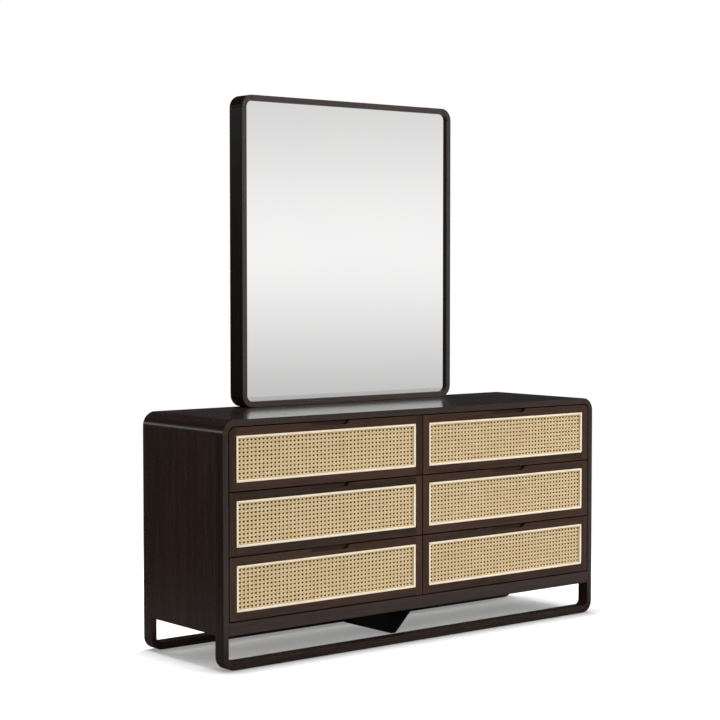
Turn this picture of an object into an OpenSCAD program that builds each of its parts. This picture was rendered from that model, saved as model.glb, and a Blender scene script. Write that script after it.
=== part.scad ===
// Dressing table: a wide chest of drawers on two closed loops, with cane drawer fronts and a
// tall mirror that stands on its top. Millimetres, X across, front towards -Y, Z up.
// The origin is on the floor, in the middle of the width and of the overall depth.

/* [Case] */
// Width of the case
case_w = 1600; // [1300:10:1800]
// Depth of the case, front to back
case_d = 450; // [425:5:520]
// Height of the case above the floor
case_h = 770; // [720:5:860]
// Thickness of the top, the sides and the posts
frame_t = 20; // [16:1:26]
// Outer radius of the top corners
corner_r = 45; // [34:1:60]
// Clear height under the case
clear_h = 109; // [90:1:130]
// Thickness of the aprons, front to back
apron_t = 20; // [16:1:26]
// Height of the aprons
apron_h = 40; // [34:1:50]
// Thickness of the bottom panel
bottom_t = 16; // [12:1:20]
// How far the bottom panel's upper face lies below the aprons' upper edge
bottom_drop = 12; // [8:1:16]
// Thickness of the back panel
back_t = 10; // [6:1:14]
// Thickness of the centre partition
partition_t = 20; // [16:1:26]

/* [Loops] */
// Depth of the posts and of the floor rails, front to back
post_d = 45; // [36:1:60]
// Height of the floor rails
floor_rail_h = 24; // [18:1:32]
// Outer radius of the floor corners
floor_corner_r = 42; // [40:1:60]
// Inner radius of the floor corners
floor_inner_r = 18; // [10:1:20]
// Depth of the tongues of the side panels
tongue_d = 8; // [5:1:12]
// Thickness of the tongues of the side panels
tongue_t = 6; // [4:1:10]
// Depth of the grooves that hold the bottom panel
groove_d = 6; // [4:1:10]

/* [Feet] */
// Thickness of the floor glides
glide_t = 2; // [1.5:0.5:5]
// Diameter of the floor glides
glide_dia = 24; // [16:1:34]
// Distance of the outer glides from the start of the floor corners
glide_inset = 20; // [14:1:60]
// Thickness of the centre foot
foot_t = 20; // [12:1:30]
// Distance from the front of the case to the centre foot's toe
foot_toe_in = 150; // [110:5:190]
// Distance from the front of the case to the centre foot's upper end
foot_top_in = 50; // [30:5:100]

/* [Drawers] */
// Gap round each drawer front
reveal = 3.5; // [2:0.5:5]
// Thickness of the drawer fronts
front_t = 22; // [18:1:26]
// Width of the drawer fronts' upright stiles
stile_w = 27; // [20:1:40]
// Width of the drawer fronts' rails
rail_w = 26; // [24:1:34]
// Depth of the pocket that holds the cane
pocket_d = 8; // [7:0.5:12]
// Thickness of the cane sheet
cane_t = 2; // [1:0.5:3]
// Width of the bead
bead_w = 8; // [5:0.5:12]
// Thickness of the bead
bead_t = 5; // [3:0.5:5]
// Clearance round the cane and the bead
seat_gap = 0.2; // [0.1:0.1:0.4]
// Clearance of the bead's strips at each mitre
mitre_gap = 0.1; // [0.05:0.05:0.3]

/* [Finger pulls] */
// Width of the finger pull at the drawer front's upper edge
pull_w = 160; // [110:5:220]
// Height of the finger pull at the face
pull_h = 12; // [10:1:18]
// Depth of the finger pull, front to back
pull_d = 15; // [11:1:16]
// How much lower the finger pull is at its back, behind the lip
pull_hook = 3; // [1:0.5:4]
// Thickness of the lip at the finger pull's lower edge
pull_lip = 2; // [1:0.5:4]

/* [Drawer boxes] */
// Height of the drawer boxes
box_h = 155; // [120:5:165]
// Space behind the drawer boxes
box_back_gap = 28; // [12:1:100]
// Thickness of the drawer boxes' walls
wall_t = 12; // [10:1:15]
// Height of the boxes above the lower edge of their fronts
box_lift = 12; // [10:1:16]
// Thickness of the drawer bottoms
drawer_bottom_t = 6; // [4:0.5:9]
// Height of the drawer bottoms above the lower edge of the walls
drawer_bottom_z = 12; // [9:1:20]
// Depth of the grooves that hold the drawer bottoms
drawer_groove_d = 6; // [4:1:8]
// Clearance of the drawer bottoms in their grooves
groove_gap = 0.2; // [0.1:0.1:0.4]
// Width of each dovetail at its root
tail_w = 22; // [14:1:26]
// How much each side of a dovetail flares over the wall's thickness
tail_flare = 3; // [1:0.5:4]
// Clearance of the dovetails in their sockets, taken up by glue
tail_gap = 0.1; // [0.05:0.05:0.2]

/* [Drawer runners] */
// Space between a drawer box and the case on each side
runner_w = 13; // [12:0.5:18]
// Height of the fixed members
runner_h = 45; // [34:1:54]
// Thickness of the members' sheet steel
runner_t = 1.2; // [1:0.1:2]
// Running gap between the members
runner_gap = 0.3; // [0.2:0.1:0.5]
// Height of the runners' centre line above the boxes' lower edge
runner_lift = 55; // [45:1:75]
// How much shorter the runners are than the drawer boxes
runner_short = 10; // [5:5:40]

/* [Mirror] */
// Width of the mirror
mirror_w = 915; // [650:5:1100]
// Height of the mirror
mirror_h = 1030; // [850:5:1200]
// Depth of the mirror frame
mirror_d = 72; // [50:1:90]
// Width of the frame's face
band_w = 19; // [15:1:28]
// Outer radius of the frame's corners
mirror_r = 41; // [32:1:60]
// Width of the rebate that holds the glass
rebate_w = 9; // [5:0.5:12]
// How far the glass lies behind the frame's face
glass_recess = 10; // [8:1:20]
// Thickness of the glass
glass_t = 5; // [3:0.5:6]
// Clearance round the glass and its backing
glass_gap = 0.5; // [0.3:0.1:1]
// Thickness of the backing's board
backing_t = 12; // [8:1:18]
// Width of the backing's rim, which presses the glass against the frame's lip
backing_rim = 30; // [20:1:50]

/* [Mirror supports] */
// Width of the support battens
support_w = 60; // [40:5:80]
// Thickness of the support battens
support_t = 16; // [12:1:22]
// Radius of the battens' upper corners
support_corner_r = 20; // [8:1:20]
// Distance between the middles of the battens
support_spacing = 560; // [300:10:600]
// Height of the battens' lower ends above the floor
support_z = 330; // [300:10:450]
// How far the battens reach up behind the mirror
support_reach = 640; // [400:10:700]
// Diameter of the screws' shanks
screw_dia = 5; // [4:0.5:6]
// Diameter of the screws' heads
screw_head_dia = 10; // [8:0.5:12]
// Thickness of the screws' heads
screw_head_t = 3; // [2:0.5:4]
// Clearance of the screws in their holes
screw_gap = 0.1; // [0.1:0.1:0.5]
// How deep the screws bite into the case and the mirror
screw_bite = 9; // [5:0.5:9]
// Distance of the end screws from the battens' ends
screw_inset = 45; // [40:1:60]

/* [Hidden] */
$fn = 64;
COLUMNS = ["left", "right"];
ROWS = ["top", "middle", "bottom"];
DRAWER_PIECES = ["front", "cane", "bead", "box", "runners", "slides"];
CASE_PIECES = [
    "top_panel", "left_corner_moulding", "right_corner_moulding", "left_side_panel",
    "right_side_panel", "front_posts", "rear_posts", "floor_rails", "floor_corners",
    "front_apron", "rear_apron", "bottom_panel", "back_panel", "centre_partition",
    "centre_foot", "floor_glides", "case_runners"
];
MIRROR_PIECES = [
    "mirror_bars", "mirror_corners", "mirror_glass", "mirror_backing", "mirror_supports",
    "support_screws"
];

espresso = "#33261f";
espresso_front = "#43332c";
cream = "#f3e6cb";
cane_tan = "#d9bf8f";
drawer_birch = "#c9ab7d";
zinc = "#a9adb0";
foot_black = "#151312";
mirror_grey = "#d6d8d9";

// planes of the case
front_y = -(case_d + support_t + screw_head_t) / 2;
back_y = front_y + case_d;
inner_x = case_w / 2 - frame_t;
corner_inner_r = corner_r - frame_t;
corner_x = case_w / 2 - corner_r;
corner_z = case_h - corner_r;
ceiling_z = case_h - frame_t;
apron_z = clear_h + apron_h;
bottom_z = apron_z - bottom_drop;
over = 1;

// drawer fronts and their rows
front_w = (2 * inner_x - 3 * reveal) / 2;
front_h = (ceiling_z - apron_z - (len(ROWS) + 1) * reveal) / len(ROWS);
row_pitch = front_h + reveal;
front_corner_r = corner_inner_r - reveal;
window_w = front_w - 2 * stile_w;
window_h = front_h - 2 * rail_w;

// drawer boxes, between a side and the partition
bay_w = inner_x - partition_t / 2;
box_w = bay_w - 2 * runner_w;
box_d = case_d - front_t - box_back_gap - back_t;
box_y = front_y + front_t;
runner_y = box_y + runner_gap;
runner_l = box_d - runner_short;
tails = 3;

// mirror
mirror_y = back_y - mirror_d;
mirror_z = case_h;
mirror_inner_r = mirror_r - band_w;
backing_d = mirror_d - glass_recess - glass_t;
support_l = case_h + support_reach - support_z;

// left edge of a column's drawer front, and lower edge of a row's
function front_x(column) = column == "left" ? -inner_x + reveal : reveal / 2;
function front_z(row) = apron_z + reveal + row_pitch * (len(ROWS) - 1 - search([row], ROWS)[0]);
// left edge of the bay that a column's drawers run in
function bay_x(column) = column == "left" ? -inner_x : partition_t / 2;

// a quarter of a ring round the Y axis, in the quarter towards +X and +Z
module quarter_ring(outer_r, inner_r, depth) {
    intersection() {
        rotate([-90, 0, 0]) difference() {
            cylinder(r = outer_r, h = depth);
            translate([0, 0, -over]) cylinder(r = inner_r, h = depth + 2 * over);
        }
        translate([0, -over, 0]) cube([outer_r + over, depth + 2 * over, outer_r + over]);
    }
}

// an upright board in the XZ plane whose upper and, if asked for, lower corners are round
module round_board(width, thickness, height, radius, round_bottom = false) {
    low = round_bottom ? radius : 0;
    translate([0, 0, low]) cube([width, thickness, height - radius - low]);
    translate([radius, 0, 0]) cube([width - 2 * radius, thickness, height]);
    corners = [
        for (x = [radius, width - radius]) each round_bottom
            ? [[x, radius], [x, height - radius]] : [[x, height - radius]]
    ];
    for (corner = corners)
        translate([corner[0], 0, corner[1]]) rotate([-90, 0, 0]) cylinder(r = radius, h = thickness);
}

module mirror_x() {
    children();
    mirror([1, 0, 0]) children();
}

// places the children where each screw enters the battens' back face, with +Z pointing inwards
module at_screws() {
    for (x = [-1, 1] * support_spacing / 2)
        for (z = [
            support_z + screw_inset, (support_z + ceiling_z) / 2, case_h - frame_t / 2,
            mirror_z + band_w + screw_inset, mirror_z + (support_reach + band_w) / 2,
            mirror_z + support_reach - screw_inset
        ])
            translate([x, back_y + support_t, z]) rotate([90, 0, 0]) children();
}

module screw_holes() {
    at_screws() translate([0, 0, -over])
        cylinder(d = screw_dia + 2 * screw_gap, h = support_t + screw_bite + over + screw_gap);
}

module top_panel() {
    color(espresso) difference() {
        translate([-corner_x, front_y, ceiling_z]) cube([2 * corner_x, case_d, frame_t]);
        screw_holes();
    }
}

module corner_moulding(side) {
    color(espresso) mirror([side < 0 ? 1 : 0, 0, 0])
        translate([corner_x, front_y, corner_z]) quarter_ring(corner_r, corner_inner_r, case_d);
}

// the side panel's thin middle layer, which reaches into the posts' grooves as tongues
module side_tongue(grow) {
    translate([inner_x + (frame_t - tongue_t) / 2 - grow, front_y + post_d - tongue_d - grow, clear_h])
        cube([tongue_t + 2 * grow, case_d - 2 * (post_d - tongue_d - grow), corner_z - clear_h]);
}

module side_panel(side) {
    color(espresso) mirror([side < 0 ? 1 : 0, 0, 0]) {
        translate([inner_x, front_y + post_d, clear_h])
            cube([frame_t, case_d - 2 * post_d, corner_z - clear_h]);
        side_tongue(0);
    }
}

module posts(y) {
    low = glide_t + floor_corner_r;
    color(espresso) mirror_x() difference() {
        translate([inner_x, y, low]) cube([frame_t, post_d, corner_z - low]);
        side_tongue(groove_gap);
    }
}

module floor_rails() {
    color(espresso) for (y = [front_y, back_y - post_d])
        translate([-case_w / 2 + floor_corner_r, y, glide_t])
            cube([case_w - 2 * floor_corner_r, post_d, floor_rail_h]);
}

// a curved block with a round outer corner of its own and a tighter inner one
module floor_corner() {
    r = floor_corner_r;
    intersection() {
        difference() {
            cube([r, post_d, r]);
            translate([frame_t, -over, floor_rail_h + floor_inner_r])
                cube([r, post_d + 2 * over, r]);
            translate([frame_t + floor_inner_r, -over, floor_rail_h]) cube([r, post_d + 2 * over, r]);
            translate([frame_t + floor_inner_r, -over, floor_rail_h + floor_inner_r])
                rotate([-90, 0, 0]) cylinder(r = floor_inner_r, h = post_d + 2 * over);
        }
        translate([r, 0, r]) rotate([-90, 0, 0]) cylinder(r = r, h = post_d);
    }
}

module floor_corners() {
    color(espresso) mirror_x() for (y = [front_y, back_y - post_d])
        translate([-case_w / 2, y, glide_t]) floor_corner();
}

module bottom_panel_shape(grow) {
    translate([-inner_x, front_y + apron_t - groove_d - grow, bottom_z - bottom_t - grow])
        cube([2 * inner_x, case_d - 2 * (apron_t - groove_d - grow), bottom_t + 2 * grow]);
}

module apron(y) {
    color(espresso_front) difference() {
        translate([-inner_x, y, clear_h]) cube([2 * inner_x, apron_t, apron_h]);
        bottom_panel_shape(groove_gap);
    }
}

module bottom_panel() {
    color(drawer_birch) bottom_panel_shape(0);
}

module back_panel() {
    color(espresso) difference() {
        translate([-inner_x, back_y - back_t, apron_z])
            round_board(2 * inner_x, back_t, ceiling_z - apron_z, corner_inner_r);
        screw_holes();
    }
}

module centre_partition() {
    start = front_y + front_t + reveal;
    color(drawer_birch) difference() {
        translate([-partition_t / 2, start, bottom_z])
            cube([partition_t, back_y - back_t - start, ceiling_z - bottom_z]);
        translate([-partition_t, back_y - apron_t, bottom_z - over])
            cube([2 * partition_t, apron_t + over, bottom_drop + over]);
    }
}

// a board under the partition: its front edge slants back to the toe, and it runs on over the
// rear floor rail to the rear apron
module centre_foot() {
    top_z = bottom_z - bottom_t;
    rail_top = glide_t + floor_rail_h;
    color(foot_black) translate([-foot_t / 2, 0, 0]) rotate([90, 0, 90])
        linear_extrude(foot_t) polygon([
            [front_y + foot_toe_in, 0], [back_y - post_d, 0], [back_y - post_d, rail_top],
            [back_y - apron_t, rail_top], [back_y - apron_t, top_z],
            [front_y + foot_top_in, top_z], [front_y + foot_top_in, clear_h]
        ]);
}

module floor_glides() {
    x_end = case_w / 2 - floor_corner_r - glide_inset;
    color("black") for (x = [-x_end, 0, x_end], y = [front_y + post_d / 2, back_y - post_d / 2])
        translate([x, y, 0]) cylinder(d = glide_dia, h = glide_t);
}

// a C-shaped steel member that opens towards +X, its middle height at Z = 0
module runner_member(height, depth) {
    difference() {
        translate([0, 0, -height / 2]) cube([depth, runner_l, height]);
        translate([runner_t, -over, runner_t - height / 2])
            cube([depth, runner_l + 2 * over, height - 2 * runner_t]);
    }
}

// sizes of the three nested members, from the case to the drawer
step_h = 2 * (runner_t + runner_gap);
step_x = runner_t + runner_gap;
member_depth = runner_w - 2 * step_x;

// both runners of a drawer: the children are placed at the bay's left wall and mirrored to its
// right wall, with +X pointing into the bay
module at_bay_walls(column, row) {
    z = front_z(row) + box_lift + runner_lift;
    translate([bay_x(column), runner_y, z]) children();
    translate([bay_x(column) + bay_w, runner_y, z]) mirror([1, 0, 0]) children();
}

module case_runners() {
    color(zinc) for (column = COLUMNS, row = ROWS)
        at_bay_walls(column, row) runner_member(runner_h, member_depth);
}

module drawer_slides(column, row) {
    color(zinc) at_bay_walls(column, row)
        translate([step_x, 0, 0]) runner_member(runner_h - step_h, member_depth);
}

module drawer_runners(column, row) {
    color(zinc) at_bay_walls(column, row) translate([runner_w, 0, 0]) mirror([1, 0, 0])
        runner_member(runner_h - 2 * step_h, runner_w - 2 * step_x - runner_gap);
}

// the scoop of the finger pull: its section along Y, cut to a shape with slanted ends
module finger_scoop() {
    back_h = pull_h + pull_hook;
    intersection() {
        translate([-pull_w / 2, 0, 0]) rotate([90, 0, 90]) linear_extrude(pull_w) polygon([
            [-over, over], [pull_d, over], [pull_d, -back_h], [pull_lip, -pull_h], [-over, -pull_h]
        ]);
        translate([0, pull_d, 0]) rotate([90, 0, 0]) linear_extrude(pull_d + over) polygon([
            [-pull_w / 2 - over, over], [pull_w / 2 + over, over],
            [pull_w / 2 - back_h, -back_h], [-pull_w / 2 + back_h, -back_h]
        ]);
    }
}

// a frame for the cane; a top front is round at its upper outer corner, like the case
module drawer_front(column, row) {
    x = front_x(column);
    z = front_z(row);
    r = row == ROWS[0] ? front_corner_r : 0;
    color(espresso_front) difference() {
        union() {
            translate([x, front_y, z]) cube([front_w, front_t, front_h - r]);
            if (r > 0) {
                translate([column == "left" ? x + r : x, front_y, z]) cube([front_w - r, front_t, front_h]);
                translate([column == "left" ? x + r : x + front_w - r, front_y, z + front_h - r])
                    rotate([-90, 0, 0]) cylinder(r = r, h = front_t);
            }
        }
        translate([x + stile_w, front_y - over, z + rail_w])
            cube([window_w, pocket_d + over, window_h]);
        translate([x + front_w / 2, front_y, z + front_h]) finger_scoop();
    }
}

module drawer_cane(column, row) {
    color(cane_tan)
        translate([
            front_x(column) + stile_w + seat_gap, front_y + pocket_d - cane_t,
            front_z(row) + rail_w + seat_gap
        ]) cube([window_w - 2 * seat_gap, cane_t, window_h - 2 * seat_gap]);
}

// one mitred strip along the lower edge of a window of the given length
module bead_strip(length) {
    near = mitre_gap;
    far = bead_w + mitre_gap;
    translate([0, bead_t, 0]) rotate([90, 0, 0]) linear_extrude(bead_t)
        polygon([[near, 0], [length - near, 0], [length - far, bead_w], [far, bead_w]]);
}

module drawer_bead(column, row) {
    w = window_w - 2 * seat_gap;
    h = window_h - 2 * seat_gap;
    color(cream)
        translate([
            front_x(column) + stile_w + seat_gap, front_y + pocket_d - cane_t - bead_t,
            front_z(row) + rail_w + seat_gap
        ]) {
            bead_strip(w);
            translate([0, 0, h]) mirror([0, 0, 1]) bead_strip(w);
            rotate([0, -90, 0]) mirror([0, 0, 1]) bead_strip(h);
            translate([w, 0, 0]) rotate([0, -90, 0]) bead_strip(h);
        }
}

// the drawer bottom, which the walls' grooves take with a clearance
module drawer_bottom(grow) {
    reach = drawer_groove_d - groove_gap + grow;
    translate([wall_t - reach, wall_t - reach, drawer_bottom_z - grow])
        cube([
            box_w - 2 * (wall_t - reach), box_d - 2 * (wall_t - reach), drawer_bottom_t + 2 * grow
        ]);
}

// the dovetails of one side wall at its front end, wide at the outer face; grow makes their sockets
module dovetails(grow) {
    root = tail_w / 2 + grow;
    tip = root + tail_flare;
    for (tail = [0 : tails - 1])
        translate([-grow, 0, (tail + 0.5) * box_h / tails])
            rotate([90, 0, 90]) linear_extrude(wall_t + 2 * grow)
                polygon([[wall_t + tail_gap, -root], [wall_t + tail_gap, root], [0, tip], [0, -tip]]);
}

module at_both_ends() {
    children();
    translate([0, box_d, 0]) mirror([0, 1, 0]) children();
}

module box_side() {
    difference() {
        union() {
            translate([0, wall_t + tail_gap, 0])
                cube([wall_t, box_d - 2 * (wall_t + tail_gap), box_h]);
            at_both_ends() dovetails(0);
        }
        drawer_bottom(groove_gap);
    }
}

module box_end() {
    difference() {
        cube([box_w, wall_t, box_h]);
        dovetails(tail_gap);
        translate([box_w, 0, 0]) mirror([1, 0, 0]) dovetails(tail_gap);
        drawer_bottom(groove_gap);
    }
}

module drawer_box(column, row) {
    color(drawer_birch) translate([bay_x(column) + runner_w, box_y, front_z(row) + box_lift]) {
        box_side();
        translate([box_w, 0, 0]) mirror([1, 0, 0]) box_side();
        at_both_ends() box_end();
        drawer_bottom(0);
    }
}

// section of the mirror frame: X outwards from the opening, Y from the face to the back
function frame_section(inner) = [
    [inner, 0], [inner + band_w, 0], [inner + band_w, mirror_d], [inner + rebate_w, mirror_d],
    [inner + rebate_w, glass_recess], [inner, glass_recess]
];

// a straight bar along +X whose outer face looks down
module mirror_bar(length) {
    rotate([0, 90, 0]) linear_extrude(length) polygon(frame_section(0));
}

module mirror_bars() {
    long = mirror_h - 2 * mirror_r;
    wide = mirror_w - 2 * mirror_r;
    color(espresso) {
        translate([-wide / 2, mirror_y, mirror_z + band_w]) mirror_bar(wide);
        translate([-wide / 2, mirror_y, mirror_z + mirror_h - band_w]) mirror([0, 0, 1]) mirror_bar(wide);
        mirror_x() translate([mirror_w / 2 - band_w, mirror_y, mirror_z + mirror_r])
            linear_extrude(long) polygon(frame_section(0));
    }
}

module mirror_corner() {
    rotate([90, 0, 0]) mirror([0, 0, 1]) rotate_extrude(angle = 90) polygon(frame_section(mirror_inner_r));
}

module mirror_corners() {
    color(espresso) mirror_x() {
        x = mirror_w / 2 - mirror_r;
        translate([x, mirror_y, mirror_z + mirror_h - mirror_r]) mirror_corner();
        translate([x, mirror_y, mirror_z + mirror_r]) mirror([0, 0, 1]) mirror_corner();
    }
}

// a board that fits the frame's rebate
module rebate_board(thickness) {
    inset = band_w - rebate_w + glass_gap;
    translate([inset - mirror_w / 2, 0, mirror_z + inset])
        round_board(mirror_w - 2 * inset, thickness, mirror_h - 2 * inset, mirror_r - inset, true);
}

module mirror_glass() {
    color(mirror_grey) translate([0, mirror_y + glass_recess, 0]) rebate_board(glass_t);
}

// a board flush with the frame's back, whose rim and two stiles press the glass forward
module mirror_backing() {
    y = mirror_y + glass_recess + glass_t;
    low = band_w + backing_rim;
    far = mirror_w / 2 - low;
    stile = [support_spacing / 2 - support_w / 2, support_spacing / 2 + support_w / 2];
    color(espresso) difference() {
        translate([0, y, 0]) rebate_board(backing_d);
        for (hollow = [[-far, -stile[1]], [-stile[0], stile[0]], [stile[1], far]])
            if (hollow[1] > hollow[0])
                translate([hollow[0], y - over, mirror_z + low])
                    cube([hollow[1] - hollow[0], backing_d - backing_t + over, mirror_h - 2 * low]);
        screw_holes();
    }
}

module mirror_supports() {
    color(espresso) difference() {
        for (x = [-1, 1] * support_spacing / 2)
            translate([x - support_w / 2, back_y, support_z])
                round_board(support_w, support_t, support_l, support_corner_r);
        screw_holes();
    }
}

module support_screws() {
    color(zinc) at_screws() {
        translate([0, 0, -screw_head_t]) cylinder(d = screw_head_dia, h = screw_head_t);
        cylinder(d = screw_dia, h = support_t + screw_bite);
    }
}

top_panel();
corner_moulding(-1);  // left_corner_moulding
corner_moulding(1);  // right_corner_moulding
side_panel(-1);  // left_side_panel
side_panel(1);  // right_side_panel
posts(front_y);  // front_posts
posts(back_y - post_d);  // rear_posts
floor_rails();
floor_corners();
apron(front_y);  // front_apron
apron(back_y - apron_t);  // rear_apron
bottom_panel();
back_panel();
centre_partition();
centre_foot();
floor_glides();
case_runners();
mirror_bars();
mirror_corners();
mirror_glass();
mirror_backing();
mirror_supports();
support_screws();

for (column = COLUMNS, row = ROWS) {
    drawer = str(column, "_", row, "_");
    drawer_front(column, row);
    drawer_cane(column, row);
    drawer_bead(column, row);
    drawer_box(column, row);
    drawer_runners(column, row);
    drawer_slides(column, row);
}
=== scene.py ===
"""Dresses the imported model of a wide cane-front dressing table and lights it for its picture."""

import logging
import math
from dataclasses import dataclass, field
from enum import Enum
from functools import cache
from typing import Callable, Iterable, Mapping, Optional, Sequence, Union

import bmesh
import bpy
import numpy as np
from mathutils import Matrix, Vector


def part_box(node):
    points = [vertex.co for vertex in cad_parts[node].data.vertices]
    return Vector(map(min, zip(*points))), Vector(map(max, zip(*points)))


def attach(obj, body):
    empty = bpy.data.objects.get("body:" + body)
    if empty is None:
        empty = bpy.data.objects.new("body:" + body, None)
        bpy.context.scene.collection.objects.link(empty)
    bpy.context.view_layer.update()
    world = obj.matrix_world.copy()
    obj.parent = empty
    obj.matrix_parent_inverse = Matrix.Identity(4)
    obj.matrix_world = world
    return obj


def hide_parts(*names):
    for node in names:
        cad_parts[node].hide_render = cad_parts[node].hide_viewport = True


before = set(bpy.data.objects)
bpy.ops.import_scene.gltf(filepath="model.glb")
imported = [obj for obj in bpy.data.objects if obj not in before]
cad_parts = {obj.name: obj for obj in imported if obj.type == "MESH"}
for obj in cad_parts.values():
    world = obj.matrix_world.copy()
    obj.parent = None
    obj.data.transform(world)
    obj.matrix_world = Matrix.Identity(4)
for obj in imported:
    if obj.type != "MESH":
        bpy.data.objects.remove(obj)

log = logging.getLogger("dressing_table")
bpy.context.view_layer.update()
MM = 0.001
SHARP_ANGLE = math.radians(32)
Number = Union[float, "Term"]
Socket = bpy.types.NodeSocket
Triple = tuple[float, float, float]
Band = tuple[float, float]


def linear(code: str) -> tuple[float, float, float, float]:
    """Turns a colour code into the linear colour that a socket holds.

    Args:
        code: six hex digits.

    Returns:
        Red, green, blue and a full alpha.
    """
    parts = [int(code[at : at + 2], 16) / 255 for at in (0, 2, 4)]
    bent = [p / 12.92 if p <= 0.04045 else ((p + 0.055) / 1.055) ** 2.4 for p in parts]
    return (bent[0], bent[1], bent[2], 1.0)


class Grain(Enum):
    """The way the fibres of a board run."""

    ACROSS = (1.0, 0.0, 0.0)
    DEEP = (0.0, 1.0, 0.0)
    UPRIGHT = (0.0, 0.0, 1.0)


class Column(Enum):
    """A column of drawers."""

    LEFT = "left"
    RIGHT = "right"


class Row(Enum):
    """A row of drawers."""

    TOP = "top"
    MIDDLE = "middle"
    BOTTOM = "bottom"


class Graph:
    """A node tree that is being filled, for a material, the world or Geometry Nodes."""

    def __init__(self, tree: bpy.types.NodeTree) -> None:
        """Keeps the tree and empties it."""
        self.tree = tree
        tree.nodes.clear()

    def add(
        self, kind: str, inputs: Optional[Mapping] = None, **settings: object
    ) -> bpy.types.Node:
        """Adds one node.

        Args:
            kind: the node's type name.
            inputs: a value, a term or a socket for each input, by name or by number.
            **settings: the node's own settings.

        Returns:
            The new node.
        """
        node = self.tree.nodes.new(kind)
        for name, value in settings.items():
            setattr(node, name, value)
        for name, value in (inputs or {}).items():
            source = getattr(value, "socket", value)
            if isinstance(source, Socket):
                self.tree.links.new(source, node.inputs[name])
            else:
                node.inputs[name].default_value = source
        return node

    def out(self, kind: str, inputs: Optional[Mapping] = None, **settings: object) -> Socket:
        """Adds one node and gives its first output."""
        return self.add(kind, inputs, **settings).outputs[0]

    def reckon(self, operation: str, *values: Number) -> "Term":
        """Adds one Math node with these values and gives its result."""
        socket = self.out("ShaderNodeMath", dict(enumerate(values)), operation=operation)
        return Term(self, socket)

    def vector(self, x: Number = 0.0, y: Number = 0.0, z: Number = 0.0) -> Socket:
        """Puts three numbers together as a vector."""
        return self.out("ShaderNodeCombineXYZ", {0: x, 1: y, 2: z})

    def joined(self, shapes: Iterable[Socket]) -> Socket:
        """Joins geometries in the given order.

        Args:
            shapes: the geometries.

        Returns:
            The joined geometry.
        """
        node = self.add("GeometryNodeJoinGeometry")
        for shape in shapes:
            self.tree.links.new(shape, node.inputs["Geometry"])
        return node.outputs["Geometry"]

    def position(self) -> "Arrow":
        """Gives the Object coordinates of a material's surface."""
        return Arrow(self, self.add("ShaderNodeTexCoord").outputs["Object"])

    def attribute(self, name: str) -> bpy.types.Node:
        """Reads a named attribute of the mesh."""
        return self.add("ShaderNodeAttribute", attribute_name=name)

    def ray(self, *kinds: str) -> "Term":
        """Tells light rays of some kinds from all others.

        Args:
            *kinds: the kinds, as the Light Path node names them.

        Returns:
            1 for a ray of any of these kinds and 0 for all others.
        """
        path = self.add("ShaderNodeLightPath")
        ways = [Term(self, path.outputs[f"Is {kind} Ray"]) for kind in kinds]
        return sum(ways[1:], ways[0])

    def noise(self, at: "Arrow", scale: float, detail: float = 2.0, rough: float = 0.5) -> "Term":
        """Gives noise of about 0.5 at a place.

        Args:
            at: the place, in metres.
            scale: how many features there are in a metre.
            detail: the number of finer octaves.
            rough: the strength of the finer octaves.

        Returns:
            The noise as a term from 0 to 1.
        """
        values = {"Vector": at, "Scale": scale, "Detail": detail, "Roughness": rough}
        return Term(self, self.add("ShaderNodeTexNoise", values).outputs["Fac"])

    def bump(self, height: "Term", distance: float, strength: float = 0.5) -> Socket:
        """Turns a height term into a normal.

        Args:
            height: the height, from 0 to 1.
            distance: the depth in metres that a height of 1 stands for.
            strength: the share of the effect that is used.

        Returns:
            The normal's socket.
        """
        values = {"Height": height, "Distance": distance, "Strength": strength}
        return self.add("ShaderNodeBump", values).outputs["Normal"]


def worked(operation: str, turned: bool = False) -> Callable[["Term", Number], "Term"]:
    """Makes a method of Term that adds one Math node.

    Args:
        operation: the Math node's operation.
        turned: True where the other number comes first.

    Returns:
        The method.
    """

    def method(self: "Term", other: Number) -> "Term":
        """Reckons with the term and another number."""
        values = (other, self) if turned else (self, other)
        return self.graph.reckon(operation, *values)

    return method


@dataclass(frozen=True)
class Term:
    """A number that flows through a tree; reckoning with it adds Math nodes."""

    graph: Graph
    socket: Socket

    __add__ = worked("ADD")
    __radd__ = worked("ADD", True)
    __sub__ = worked("SUBTRACT")
    __rsub__ = worked("SUBTRACT", True)
    __mul__ = worked("MULTIPLY")
    __rmul__ = worked("MULTIPLY", True)
    __truediv__ = worked("DIVIDE")
    __rtruediv__ = worked("DIVIDE", True)
    least = worked("MINIMUM")
    most = worked("MAXIMUM")

    def ramp(self, low: float, high: float, start: float = 0.0, end: float = 1.0) -> "Term":
        """Maps low to high smoothly onto start to end and holds it there outside.

        Args:
            low: the value that gives start.
            high: the value that gives end.
            start: the result at and before low.
            end: the result at and after high.

        Returns:
            The mapped term.
        """
        values = {"Value": self, 1: low, 2: high, 3: start, 4: end}
        node = self.graph.add("ShaderNodeMapRange", values, interpolation_type="SMOOTHSTEP")
        return Term(self.graph, node.outputs["Result"])


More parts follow.
